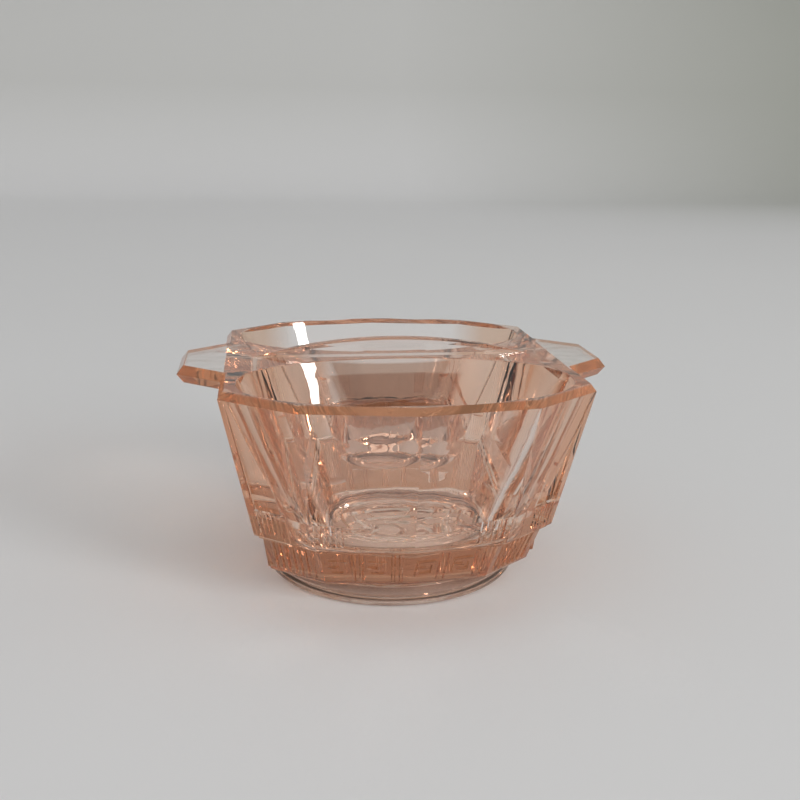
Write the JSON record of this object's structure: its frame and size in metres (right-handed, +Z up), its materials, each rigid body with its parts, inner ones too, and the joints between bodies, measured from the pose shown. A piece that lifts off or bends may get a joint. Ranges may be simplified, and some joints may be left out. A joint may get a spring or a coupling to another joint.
{
  "type": "two-well dappen dish",
  "caption": "Small pressed glass dish with two oval wells, a crested wall between them, flat side tabs, a faceted body, a reeded band, a key band and a round foot.",
  "frame": {"origin": "centre of the bounding box at the plane the foot rests on", "axes": "+Z up, X across the dish through the two side tabs, Y along the two wells, the well nearer the viewer at -Y"},
  "size_m": [0.0722, 0.0704, 0.0401],
  "materials": {
    "pink_glass": "clear pale pink glass, fire polished"
  },
  "bodies": {
    "root": {"front_wall": "pink_glass", "back_wall": "pink_glass", "middle_wall": "pink_glass", "crest": "pink_glass", "left_tab": "pink_glass", "right_tab": "pink_glass", "reeded_band": "pink_glass", "key_band": "pink_glass", "foot": "pink_glass"}
  },
  "joints": []
}
